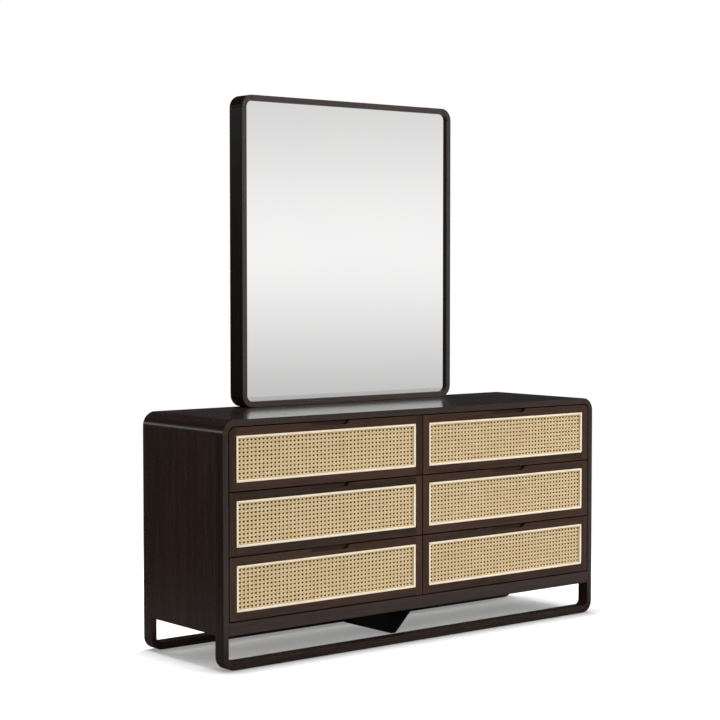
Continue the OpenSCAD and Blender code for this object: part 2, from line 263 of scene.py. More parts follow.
@dataclass(frozen=True)
class Arrow:
    """A vector that flows through a tree; reckoning with it adds Vector Math nodes."""

    graph: Graph
    socket: Socket

    def reckon(self, operation: str, inputs: Mapping, result: str = "Vector") -> Socket:
        """Adds one Vector Math node and gives one of its outputs."""
        return self.graph.add("ShaderNodeVectorMath", inputs, operation=operation).outputs[result]

    def __add__(self, other: "Arrow") -> "Arrow":
        """self + other."""
        return Arrow(self.graph, self.reckon("ADD", {0: self, 1: other}))

    def __mul__(self, other: Number) -> "Arrow":
        """The vector made longer by a number."""
        return Arrow(self.graph, self.reckon("SCALE", {0: self, "Scale": other}))

    __rmul__ = __mul__

    def times(self, other: Sequence[float]) -> "Arrow":
        """Each part of the vector times a number of its own."""
        return Arrow(self.graph, self.reckon("MULTIPLY", {0: self, 1: other}))

    def dot(self, other: "Arrow") -> Term:
        """The dot product."""
        return Term(self.graph, self.reckon("DOT_PRODUCT", {0: self, 1: other}, "Value"))

    def length(self) -> Term:
        """The vector's length."""
        return Term(self.graph, self.reckon("LENGTH", {0: self}, "Value"))

    def parts(self) -> tuple[Term, Term, Term]:
        """The X, Y and Z parts."""
        node = self.graph.add("ShaderNodeSeparateXYZ", {0: self})
        return tuple(Term(self.graph, out) for out in node.outputs)


@dataclass(frozen=True)
class Tint:
    """A colour that flows through a tree."""

    graph: Graph
    socket: Union[Socket, tuple]

    def blend(self, code: str, amount: Number) -> "Tint":
        """Mixes in another colour.

        Args:
            code: the other colour's code.
            amount: its share, from 0 to 1.

        Returns:
            The mixed colour.
        """
        values = {0: amount, 6: self, 7: linear(code)}
        node = self.graph.add("ShaderNodeMix", values, data_type="RGBA")
        return Tint(self.graph, node.outputs[2])


@dataclass(frozen=True)
class Surface:
    """What all finishes share: a material with one Principled shader, and two main shades."""

    name: str
    shade: str
    other_shade: str

    def build(self) -> bpy.types.Material:
        """Builds the material; the finish's own nodes feed its shader.

        Returns:
            The new material.
        """
        material = bpy.data.materials.new(self.name)
        material.use_nodes = True
        graph = Graph(material.node_tree)
        shader = graph.out("ShaderNodeBsdfPrincipled", self.inputs(graph))
        graph.add("ShaderNodeOutputMaterial", {"Surface": shader})
        return material

    def inputs(self, graph: Graph) -> Mapping[str, object]:
        """Gives what the shader's inputs are fed with, by their names."""
        raise NotImplementedError

    def mottled(self, graph: Graph, amount: Number) -> Tint:
        """Goes from the first shade to the other one by a share."""
        return Tint(graph, linear(self.shade)).blend(self.other_shade, amount)


@dataclass(frozen=True)
class Wood(Surface):
    """Wood whose grain follows the boards' own fibre direction, under a thin lacquer.

    A scale, here and below, is the number of features in a metre, and the relief is the bump's
    depth in millimetres. The drawn shares say how far the pattern is drawn out along the fibres.
    """

    pore: str
    gloss: float
    figure: float = 1.0
    sheen_level: float = 0.5
    broad_scale: float = 30.0
    streak_scale: float = 240.0
    pore_scale: float = 1150.0
    board_steps: Triple = (7.3, 3.1, 5.7)
    streak_drawn: float = -0.965
    pore_drawn: float = -0.9
    relief: float = 0.08

    def inputs(self, graph: Graph) -> Mapping[str, object]:
        """Lays streaks and pores along the grain; the plank number gives each board its own.

        Args:
            graph: the material's tree.

        Returns:
            What the shader's inputs are fed with, by their names.
        """
        place = graph.position()
        fibre = Arrow(graph, graph.attribute("grain").outputs["Vector"])
        plank = Term(graph, graph.attribute("plank").outputs["Fac"])
        along = place.dot(fibre)
        board = place + Arrow(graph, graph.vector(*(plank * step for step in self.board_steps)))
        drawn = board + fibre * (along * self.streak_drawn)
        short = board + fibre * (along * self.pore_drawn)
        broad = graph.noise(drawn, self.broad_scale * self.figure, 3.0, 0.6)
        streak = graph.noise(drawn, self.streak_scale, 4.0, 0.62)
        pores = graph.noise(short, self.pore_scale).ramp(0.6, 0.74)
        lightness = (broad * 0.7 + streak * 0.6 + plank * 0.18 - 0.21).ramp(0.28, 0.72)
        return {
            "Base Color": self.mottled(graph, lightness).blend(self.pore, pores * 0.55),
            "Roughness": self.gloss + streak * 0.1 + pores * 0.12 - 0.05,
            "Normal": graph.bump(streak * 0.35 - pores * 0.5, self.relief * MM),
            "Specular IOR Level": self.sheen_level,
        }


@dataclass(frozen=True)
class Rattan(Surface):
    """Peeled rattan: tan strands with fine fibres that differ in shade, the slanting ones paler."""

    fibre: str
    fibre_scale: float = 2600.0
    fibre_drawn: float = -0.96
    patch_scale: float = 90.0
    relief: float = 0.08

    def inputs(self, graph: Graph) -> Mapping[str, object]:
        """Reads the weave's lay, which is nought for slanting strands, and its strand number.

        Args:
            graph: the material's tree.

        Returns:
            What the shader's inputs are fed with, by their names.
        """
        place = graph.position()
        lay = Arrow(graph, graph.attribute("lay").outputs["Vector"])
        strand = Term(graph, graph.attribute("strand").outputs["Fac"])
        drawn = place + lay * (place.dot(lay) * self.fibre_drawn)
        lines = graph.noise(drawn, self.fibre_scale, 2.0, 0.6)
        patches = graph.noise(place, self.patch_scale, 3.0, 0.6)
        slant = 1.0 - lay.length()
        amount = (strand * 0.6 + patches * 0.35 + slant * 0.5 - 0.25).ramp(0.1, 0.9)
        fibres = lines.ramp(0.55, 0.75) * 0.4
        return {
            "Base Color": self.mottled(graph, amount).blend(self.fibre, fibres),
            "Roughness": 0.42 + patches * 0.15,
            "Normal": graph.bump(lines, self.relief * MM),
            "Specular IOR Level": 0.35,
        }


@dataclass(frozen=True)
class Lacquer(Surface):
    """An opaque sprayed coat with a little unevenness in its shade and its surface."""

    gloss: float
    sheen_level: float = 0.5
    patch_scale: float = 14.0
    peel_scale: float = 900.0
    relief: float = 0.04

    def inputs(self, graph: Graph) -> Mapping[str, object]:
        """Gives faint patches and an orange-peel surface.

        Args:
            graph: the material's tree.

        Returns:
            What the shader's inputs are fed with, by their names.
        """
        place = graph.position()
        patches = graph.noise(place, self.patch_scale, 4.0, 0.6)
        peel = graph.noise(place, self.peel_scale)
        return {
            "Base Color": self.mottled(graph, patches.ramp(0.35, 0.75)),
            "Roughness": self.gloss + patches * 0.12 - 0.06,
            "Normal": graph.bump(peel, self.relief * MM, 0.4),
            "Specular IOR Level": self.sheen_level,
        }


@dataclass(frozen=True)
class DrawnSteel(Surface):
    """Zinc-plated steel with fine lines along its length and a spangle in the plating."""

    lines_along: Grain
    metal: float = 0.65
    line_scale: float = 1800.0
    line_drawn: float = 0.97
    spangle_scale: float = 160.0
    relief: float = 0.03

    def inputs(self, graph: Graph) -> Mapping[str, object]:
        """Draws the noise out along the given axis for the lines.

        Args:
            graph: the material's tree.

        Returns:
            What the shader's inputs are fed with, by their names.
        """
        stretch = tuple(1.0 - self.line_drawn * part for part in self.lines_along.value)
        place = graph.position()
        lines = graph.noise(place.times(stretch), self.line_scale, 3.0, 0.6)
        spangle = graph.noise(place, self.spangle_scale, 2.0, 0.4)
        return {
            "Base Color": self.mottled(graph, spangle),
            "Roughness": 0.3 + lines * 0.16 + spangle * 0.06,
            "Normal": graph.bump(lines, self.relief * MM),
            "Metallic": self.metal,
        }


@dataclass(frozen=True)
class SilveredGlass(Surface):
    """A mirror: silver behind clear glass, with the faintest unevenness."""

    patch_scale: float = 3.0

    def inputs(self, graph: Graph) -> Mapping[str, object]:
        """Gives wide soft patches of shade and smoothness.

        Args:
            graph: the material's tree.

        Returns:
            What the shader's inputs are fed with, by their names.
        """
        patches = graph.noise(graph.position(), self.patch_scale)
        return {
            "Base Color": self.mottled(graph, patches),
            "Roughness": 0.012 + patches * 0.02,
            "Metallic": 1.0,
        }


CASE_WOOD = Wood("espresso_case", "1f1713", "30241f", "120d0a", 0.27, sheen_level=0.25)
# The corners' rounding: a darker copy of the case wood, a painted shade; its higher gloss is real.
CORNER_SHADE_WOOD = Wood("espresso_corner", "1b1310", "2a1d19", "0f0a08", 0.2, sheen_level=0.55)
# The mirror frame's rims: a darker copy of the frame's wood, a painted shade.
RIM_SHADE_WOOD = Wood("espresso_edge", "0e0a08", "191210", "070504", 0.27, sheen_level=0.1)
# The top's face: the case wood made greyer and a little lighter to stand for part of its sheen, a
# painted sheen; its smoothness is real.
TOP_WOOD_AND_SHEEN = Wood("espresso_top", "221c1a", "342c29", "120e0d", 0.14, sheen_level=0.33)
MIRROR_WOOD = Wood("espresso_mirror", "241a16", "352824", "130d0a", 0.27, sheen_level=0.5)
SIDE_WOOD = Wood("espresso_side", "281d19", "332621", "1a1310", 0.27, sheen_level=0.3)
APRON_WOOD = Wood("espresso_apron", "201814", "352824", "130b08", 0.36, sheen_level=0.2)
FRONT_WOOD = Wood("espresso_front", "24170e", "3f2a1f", "130b08", 0.36, sheen_level=0.15)
# The cane's backing: the plywood's own brown, darkened and deepened to stand for the shade in the
# pocket, a painted shade.
SHADED_BACKING_WOOD = Wood("stained_backing", "4c3002", "644104", "2a1a00", 0.7, sheen_level=0.0)
BIRCH = Wood("lacquered_birch", "b8976a", "dcc094", "8d6c43", 0.42, 0.7)
CANE = Rattan("cane_rattan", "e7c893", "f9e6bf", "b28b54")
CREAM = Lacquer("cream_lacquer", "f3e5cd", "ebd9ba", 0.38)
# The centre foot: near black, standing for the deep shade under the case, a painted shade.
FOOT_SHADE_BLACK = Lacquer("black_lacquer", "0e0c0b", "080706", 0.45, 0.2)
PLASTIC = Lacquer("black_plastic", "161616", "202020", 0.6, 0.4)
ZINC = DrawnSteel("zinc_steel", "a9acae", "d6d8da", Grain.DEEP)
SCREW_ZINC = DrawnSteel("screw_zinc", "a5a9ab", "d3d6d8", Grain.ACROSS)
SILVER = SilveredGlass("silvered_glass", "f4f4f3", "f1f1f1")


@cache
def material_of(finish: Surface) -> bpy.types.Material:
    """Builds a finish's material the first time and gives the same one from then on."""
    return finish.build()


def new_object(name: str, mesh: bpy.types.Mesh) -> bpy.types.Object:
    """Puts a mesh in the scene.

    Args:
        name: the new object's name.
        mesh: its mesh.

    Returns:
        The object, at the origin.
    """
    piece = bpy.data.objects.new(name, mesh)
    bpy.context.scene.collection.objects.link(piece)
    return piece


def mesh_of(work: bmesh.types.BMesh, name: str) -> bpy.types.Mesh:
    """Turns work in progress into a mesh and frees it.

    Args:
        work: the work in progress.
        name: the mesh's name.

    Returns:
        The mesh.
    """
    mesh = bpy.data.meshes.new(name)
    work.to_mesh(mesh)
    work.free()
    return mesh


def freeze(piece: bpy.types.Object) -> bpy.types.Mesh:
    """Applies a piece's modifiers.

    Args:
        piece: the piece, which then holds none.

    Returns:
        Its plain mesh.
    """
    view = bpy.context.evaluated_depsgraph_get()
    view.update()
    mesh = bpy.data.meshes.new_from_object(
        piece.evaluated_get(view), preserve_all_data_layers=True, depsgraph=view
    )
    mesh.name = piece.name
    piece.modifiers.clear()
    piece.data = mesh
    return mesh


def enter(piece: bpy.types.Object, body: str, node: Optional[str] = None) -> None:
    """Enters a finished piece in the frame.

    Args:
        piece: the piece.
        body: the body that it rides on.
        node: the CAD node that it stands for, or None for a piece of its own.
    """
    if node is not None:
        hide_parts(node)
    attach(piece, body)
    log.info("%s: %d faces", piece.name, len(piece.data.polygons))


def islands(mesh: bpy.types.Mesh) -> np.ndarray:
    """Numbers the separate solids of a mesh.

    Args:
        mesh: the mesh.

    Returns:
        The solid's number for each face.
    """
    parent = list(range(len(mesh.vertices)))

    def root(at: int) -> int:
        """Finds the vertex that stands for a group of joined ones.

        Args:
            at: any vertex of the group.

        Returns:
            The vertex that stands for it.
        """
        while parent[at] != at:
            parent[at] = parent[parent[at]]
            at = parent[at]
        return at

    for a, b in mesh.edge_keys:
        parent[root(a)] = root(b)
    roots = [root(face.vertices[0]) for face in mesh.polygons]
    order = {vertex: number for number, vertex in enumerate(dict.fromkeys(roots))}
    return np.array([order[vertex] for vertex in roots])


def solid_boxes(mesh: bpy.types.Mesh) -> list[tuple[Vector, Vector]]:
    """Measures each separate solid of a mesh.

    Args:
        mesh: the mesh.

    Returns:
        The lowest and the highest corner of each solid, in the order of their numbers.
    """
    corners: dict[int, list] = {}
    for face, number in zip(mesh.polygons, islands(mesh)):
        corners.setdefault(int(number), []).extend(mesh.vertices[v].co for v in face.vertices)
    clouds = [np.array(corners[number]) for number in sorted(corners)]
    return [(Vector(points.min(0)), Vector(points.max(0))) for points in clouds]


def merged_copy(node: str) -> bmesh.types.BMesh:
    """Copies a CAD node with its loose triangles joined into flat faces.

    Args:
        node: the node's name.

    Returns:
        The copy, as work in progress.
    """
    work = bmesh.new()
    work.from_mesh(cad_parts[node].data)
    bmesh.ops.remove_doubles(work, verts=work.verts, dist=1e-5)
    flat = math.radians(0.5)
    bmesh.ops.dissolve_limit(work, angle_limit=flat, verts=work.verts, edges=work.edges)
    return work


GrainRule = Callable[[Vector, Vector, Vector], Grain]
FaceRule = Callable[[Vector, Vector], bool]


def longest(_centre: Vector, low: Vector, high: Vector) -> Grain:
    """Lets the fibres run along a board's longest side."""
    size = high - low
    return list(Grain)[max(range(3), key=lambda axis: size[axis])]


def front_or_rear(_centre: Vector, normal: Vector) -> bool:
    """Picks the faces that look to the front or the rear."""
    return abs(normal.y) > 0.7


def all_round(_centre: Vector, normal: Vector) -> bool:
    """Picks the faces that look up, down or to a side."""
    return abs(normal.y) < 0.5


@dataclass
class Board:
    """A wooden or lacquered piece made from one CAD node, with eased edges and its own grain.

    The edge is in millimetres. A cut is the number of an axis and a place on it, where the
    grain may turn. The second finish goes on the faces that takes_second picks by their centre
    and normal.
    """

    node: str
    body: str
    slot: str
    finish: Surface
    edge: float = 1.0
    segments: int = 2
    grain: GrainRule = longest
    cuts: Sequence[tuple[int, float]] = ()
    second: Optional[Surface] = None
    takes_second: FaceRule = lambda _centre, _normal: False

    def make(self) -> None:
        """Builds the piece, which then stands for its CAD node."""
        work = merged_copy(self.node)
        for axis, place in self.cuts:
            normal = Vector((0.0, 0.0, 0.0))
            normal[axis] = 1.0
            every = work.verts[:] + work.edges[:] + work.faces[:]
            bmesh.ops.bisect_plane(
                work, geom=every, dist=1e-6, plane_co=normal * place, plane_no=normal
            )
        mesh = mesh_of(work, self.node)
        mesh.shade_smooth()
        mesh.set_sharp_from_angle(angle=SHARP_ANGLE)
        piece = new_object(f"{self.node}_dressed", mesh)
        self.ease(piece)
        self.lay_grain(piece.data)
        self.dress(piece.data)
        enter(piece, self.body, self.node)

    def ease(self, piece: bpy.types.Object) -> None:
        """Rounds the sharp edges a little and keeps the flat faces flat.

        Args:
            piece: the piece, whose mesh is eased.
        """
        bevel = piece.modifiers.new("eased_edges", "BEVEL")
        bevel.width = self.edge * MM
        bevel.segments = self.segments
        bevel.limit_method = "ANGLE"
        bevel.angle_limit = SHARP_ANGLE
        bevel.harden_normals = True
        bevel.use_clamp_overlap = True
        freeze(piece)

    def lay_grain(self, mesh: bpy.types.Mesh) -> None:
        """Stores the fibre direction and a number of its own for each board.

        Args:
            mesh: the piece's mesh, whose faces get both.
        """
        golden = 0.381966
        numbers = islands(mesh)
        boxes = solid_boxes(mesh)
        mesh.attributes.new("grain", "FLOAT_VECTOR", "FACE")
        mesh.attributes.new("plank", "FLOAT", "FACE")
        base = sum(ord(letter) for letter in self.node) % 17
        directions = np.zeros((len(mesh.polygons), 3), np.float32)
        planks = np.zeros(len(mesh.polygons), np.float32)
        for face, number in zip(mesh.polygons, numbers):
            way = self.grain(face.center, *boxes[number])
            directions[face.index] = way.value
            turn = list(Grain).index(way)
            planks[face.index] = ((base + number * 5 + turn * 3) * golden) % 1.0
        mesh.attributes["grain"].data.foreach_set("vector", directions.ravel())
        mesh.attributes["plank"].data.foreach_set("value", planks)

    def dress(self, mesh: bpy.types.Mesh) -> None:
        """Gives the faces their finish, or the second one where the rule says so.

        Args:
            mesh: the piece's mesh.
        """
        mesh.materials.clear()
        mesh.materials.append(material_of(self.finish))
        if self.second is not None:
            mesh.materials.append(material_of(self.second))
        picks = [int(self.takes_second(face.center, face.normal)) for face in mesh.polygons]
        mesh.polygons.foreach_set("material_index", np.array(picks, np.int32))


def redress(node: str, finish: Surface) -> None:
    """Gives a CAD node that stays as it is a better material.

    Args:
        node: the node's name.
        finish: its new finish.
    """
    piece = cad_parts[node]
    for place in piece.material_slots:
        place.material = material_of(finish)
    log.info("%s: finished as %s", node, finish.name)


@dataclass
class Tree:
    """A Geometry Nodes tree with named inputs, run once on an empty mesh."""

    name: str
    inputs: Mapping[str, tuple[str, object]]
    fill: Callable[[Graph, Mapping[str, Term]], Socket] = field(repr=False)

    def run(self) -> bpy.types.Mesh:
        """Builds the tree and runs it.

        Returns:
            The plain mesh that it makes.
        """
        tree = bpy.data.node_groups.new(self.name, "GeometryNodeTree")
        graph = Graph(tree)
        identifiers = {}
        for label, (kind, _) in self.inputs.items():
            made = tree.interface.new_socket(label, in_out="INPUT", socket_type=kind)
            identifiers[label] = made.identifier
        tree.interface.new_socket("Geometry", in_out="OUTPUT", socket_type="NodeSocketGeometry")
        entry = graph.add("NodeGroupInput")
        terms = {label: Term(graph, entry.outputs[label]) for label in self.inputs}
        graph.add("NodeGroupOutput", {"Geometry": self.fill(graph, terms)})
        piece = new_object(self.name, bpy.data.meshes.new(self.name))
        modifier = piece.modifiers.new(self.name, "NODES")
        modifier.node_group = tree
        for label, (_, value) in self.inputs.items():
            modifier[identifiers[label]] = value
        mesh = freeze(piece)
        bpy.data.objects.remove(piece)
        return mesh


@dataclass
class CaneWeave:
    """The woven cane of one drawer: pairs of strands both ways and single ones on the slant.

    The sheet's size and the part of it that is seen are in metres, the strands' measures in
    millimetres. The slanting strands lie at two depths, so that one passes over the other, and
    slant_share is half their width as a share of the others' width.
    """

    width: float
    height: float
    seen_w: float
    seen_h: float
    columns: int = 47
    rows: int = 10
    strand_w: float = 2.9
    strand_t: float = 0.62
    pair_gap: float = 3.3
    wave: float = 0.42
    rising_y: float = -0.46
    falling_y: float = -0.2
    slant_share: float = 0.48
    slant_seed: int = 11
    steps: int = 6

    def mesh(self) -> bpy.types.Mesh:
        """Weaves the sheet about the origin, facing -Y.

        Returns:
            The sheet's plain mesh.
        """
        lengths = {
            "Pitch across": self.seen_w / self.columns, "Pitch up": self.seen_h / self.rows,
            "Sheet width": self.width, "Sheet height": self.height,
            "Strand width": self.strand_w * MM, "Strand thickness": self.strand_t * MM,
            "Pair distance": self.pair_gap * MM, "Wave": self.wave * MM,
        }
        inputs = {
            "Columns": ("NodeSocketInt", self.columns),
            "Rows": ("NodeSocketInt", self.rows),
            **{label: ("NodeSocketFloat", value) for label, value in lengths.items()},
            "Finish": ("NodeSocketMaterial", material_of(CANE)),
        }
        return Tree("cane_weave", inputs, self.fill).run()

    def fill(self, graph: Graph, terms: Mapping[str, Term]) -> Socket:
        """Fills the tree: both ways' pairs, then the slanting strands.

        Args:
            graph: the tree.
            terms: the tree's inputs.

        Returns:
            The woven sheet.
        """
        families = [
            self.straight(graph, terms, upright, side)
            for side in (-1, 1) for upright in (True, False)
        ]
        families.append(self.slanting(graph, terms))
        whole = graph.out("GeometryNodeRealizeInstances", {"Geometry": graph.joined(families)})
        smooth = graph.out("GeometryNodeSetShadeSmooth", {"Geometry": whole})
        values = {"Geometry": smooth, "Material": terms["Finish"]}
        return graph.out("GeometryNodeSetMaterial", values)

    def straight(self, graph: Graph, terms: Mapping[str, Term], upright: bool, side: int) -> Socket:
        """Makes one strand of each pair, all along the sheet.

        Args:
            graph: the tree.
            terms: the tree's inputs.
            upright: True for the strands that stand, False for those that lie.
            side: -1 or 1, the strand's place in its pair.

        Returns:
            The strands as instances.
        """
        along = ("Sheet height", "Pitch up", "Rows", "Pitch across", "Columns")
        level = ("Sheet width", "Pitch across", "Columns", "Pitch up", "Rows")
        long, pitch, periods, step, count = (terms[name] for name in (along if upright else level))
        values = {
            "Vertices": 4, "Side Segments": (periods + 1) * self.steps, "Radius": 1.0,
            "Depth": long,
        }
        tube = graph.out("GeometryNodeMeshCylinder", values, fill_type="NGON")
        x, y, z = Arrow(graph, graph.out("GeometryNodeInputPosition")).parts()
        turn = z / pitch * (2 * math.pi) + periods * math.pi
        over = side if upright else -side
        weave = graph.reckon("SINE", turn) * terms["Wave"] * over
        deep = y * terms["Strand thickness"] * 0.5 + weave
        flat = x * terms["Strand width"] * 0.5
        bent = graph.vector(flat, deep, z) if upright else graph.vector(z, deep, 0.0 - flat)
        strand = graph.out("GeometryNodeSetPosition", {"Geometry": tube, "Position": bent})
        first = count * step * -0.5 + terms["Pair distance"] * (0.5 * side)
        axis = "x" if upright else "z"
        values = {
            "Count": count + 1, "Start Location": graph.vector(**{axis: first}),
            "Offset": graph.vector(**{axis: step}),
        }
        line = graph.out("GeometryNodeMeshLine", values)
        way = Grain.UPRIGHT if upright else Grain.ACROSS
        seed = 3 + side + (4 if upright else 0)
        return self.spread(graph, line, strand, way.value, seed)

    def slanting(self, graph: Graph, terms: Mapping[str, Term]) -> Socket:
        """Makes the four slanting pieces round one hole and repeats them at every hole.

        Args:
            graph: the tree.
            terms: the tree's inputs.

        Returns:
            The slanting strands as instances.
        """
        half_x = terms["Pitch across"] * 0.5
        half_z = terms["Pitch up"] * 0.5
        angle = graph.reckon("ARCTAN2", half_x, half_z)
        length = graph.reckon("SQRT", half_x * half_x + half_z * half_z)
        flat = terms["Strand width"] * self.slant_share
        size = graph.vector(flat, terms["Strand thickness"] * 0.5, length)
        values = {"Vertices": 4, "Side Segments": 1, "Radius": 1.0, "Depth": 1.0}
        tube = graph.out("GeometryNodeMeshCylinder", values, fill_type="NGON")
        ring = []
        for right, up in ((1, -1), (-1, 1), (1, 1), (-1, -1)):
            rising = right * up < 0
            deep = (self.rising_y if rising else self.falling_y) * MM
            values = {
                "Geometry": tube, "Scale": size,
                "Translation": graph.vector(half_x * (0.5 * right), deep, half_z * (0.5 * up)),
                "Rotation": graph.vector(y=angle * (1.0 if rising else -1.0)),
            }
            ring.append(graph.out("GeometryNodeTransform", values))
        values = {
            "Size X": terms["Pitch across"] * (terms["Columns"] - 1),
            "Size Y": terms["Pitch up"] * (terms["Rows"] - 1),
            "Vertices X": terms["Columns"], "Vertices Y": terms["Rows"],
        }
        grid = graph.out("GeometryNodeMeshGrid", values)
        upright = {"Geometry": grid, "Rotation": (math.pi / 2, 0.0, 0.0)}
        stood = graph.out("GeometryNodeTransform", upright)
        return self.spread(graph, stood, graph.joined(ring), (0.0, 0.0, 0.0), self.slant_seed)

    @staticmethod
    def spread(graph: Graph, points: Socket, strand: Socket, lay: Triple, seed: int) -> Socket:
        """Puts a strand on every point, with its fibre direction and a shade of its own.

        Args:
            graph: the tree.
            points: the mesh whose points are used.
            strand: the strand's mesh.
            lay: the fibre direction, nought for strands on the slant.
            seed: the seed of the shades.

        Returns:
            The instances.
        """
        placed = graph.out("GeometryNodeInstanceOnPoints", {"Points": points, "Instance": strand})
        shade = graph.add("FunctionNodeRandomValue", {"Seed": seed}, data_type="FLOAT")
        shaded = graph.out(
            "GeometryNodeStoreNamedAttribute",
            {"Geometry": placed, "Name": "strand", "Value": shade.outputs[1]},
            data_type="FLOAT", domain="INSTANCE",
        )
        return graph.out(
            "GeometryNodeStoreNamedAttribute", {"Geometry": shaded, "Name": "lay", "Value": lay},
            data_type="FLOAT_VECTOR", domain="INSTANCE",
        )


@dataclass
class Screws:
    """Cross-head screws of one size at given places; a place is the middle of a head's top.

    The head's measures and the length are in metres. The recess is given in head radiuses, and
    the crown is the share by which the head's rim draws in.
    """

    name: str
    places: Sequence[Triple]
    turn: Triple
    head_r: float
    head_t: float
    length: float
    recess_w: float = 0.26
    recess_l: float = 1.08
    recess_d: float = 0.32
    crown: float = 0.16

    def mesh(self) -> bpy.types.Mesh:
        """Repeats the screw at every place.

        Returns:
            The screws as one plain mesh.
        """
        spots = bpy.data.meshes.new(f"{self.name}_places")
        spots.from_pydata(list(self.places), [], [])
        holder = new_object(f"{self.name}_places", spots)
        inputs = {
            "Places": ("NodeSocketObject", holder),
            "Head radius": ("NodeSocketFloat", self.head_r),
            "Head thickness": ("NodeSocketFloat", self.head_t),
            "Length": ("NodeSocketFloat", self.length),
            "Finish": ("NodeSocketMaterial", material_of(SCREW_ZINC)),
        }
        mesh = Tree(self.name, inputs, self.fill).run()
        bpy.data.objects.remove(holder)
        return mesh

    def fill(self, graph: Graph, terms: Mapping[str, Term]) -> Socket:
        """Fills the tree: one screw, repeated at every place.

        Args:
            graph: the tree.
            terms: the tree's inputs.

        Returns:
            All the screws.
        """
        shapes = [self.head(graph, terms)]
        if self.length > self.head_t:
            shapes.append(self.shank(graph, terms))
        down = graph.vector(z=terms["Head thickness"] * -0.5)
        values = {"Geometry": graph.joined(shapes), "Translation": down}
        seated = graph.out("GeometryNodeTransform", values)
        source = graph.add("GeometryNodeObjectInfo", {"Object": terms["Places"]})
        values = {
            "Points": source.outputs["Geometry"], "Instance": seated, "Rotation": self.turn,
        }
        placed = graph.out("GeometryNodeInstanceOnPoints", values)
        real = graph.out("GeometryNodeRealizeInstances", {"Geometry": placed})
        values = {"Geometry": real, "Material": terms["Finish"]}
        return graph.out("GeometryNodeSetMaterial", values)

    def head(self, graph: Graph, terms: Mapping[str, Term]) -> Socket:
        """Makes a crowned pan head with a cross recess, its middle at the origin.

        Args:
            graph: the tree.
            terms: the tree's inputs.

        Returns:
            The head.
        """
        thick = terms["Head thickness"]
        radius = terms["Head radius"]
        values = {"Vertices": 32, "Side Segments": 3, "Radius": radius, "Depth": thick}
        blank = graph.out("GeometryNodeMeshCylinder", values)
        x, y, z = Arrow(graph, graph.out("GeometryNodeInputPosition")).parts()
        rise = (z / thick + 0.5).most(0.0)
        narrow = 1.0 - rise * rise * rise * self.crown
        crowned = graph.vector(x * narrow, y * narrow, z)
        pan = graph.out("GeometryNodeSetPosition", {"Geometry": blank, "Position": crowned})
        bars = []
        for wide, tall in ((self.recess_l, self.recess_w), (self.recess_w, self.recess_l)):
            size = graph.vector(radius * wide, radius * tall, radius * self.recess_d * 2.0)
            bars.append(graph.out("GeometryNodeMeshCube", {"Size": size}))
        values = {"Geometry": graph.joined(bars), "Translation": graph.vector(z=thick * 0.5)}
        lifted = graph.out("GeometryNodeTransform", values)
        values = {"Mesh 1": pan, "Mesh 2": lifted}
        return graph.out("GeometryNodeMeshBoolean", values, operation="DIFFERENCE")

    @staticmethod
    def shank(graph: Graph, terms: Mapping[str, Term]) -> Socket:
        """Makes the shank below the head.

        Args:
            graph: the tree.
            terms: the tree's inputs.

        Returns:
            The shank.
        """
        thick = terms["Head thickness"]
        shank_l = terms["Length"] - thick
        values = {"Vertices": 16, "Radius": terms["Head radius"] * 0.5, "Depth": shank_l}
        rod = graph.out("GeometryNodeMeshCylinder", values)
        below = graph.vector(z=(shank_l + thick) * -0.5)
        return graph.out("GeometryNodeTransform", {"Geometry": rod, "Translation": below})


def plain_boxes(node: str) -> list[tuple[Vector, Vector]]:
    """Gives the boxes of the separate solids of a CAD node."""
    return solid_boxes(mesh_of(merged_copy(node), f"{node}_joined"))


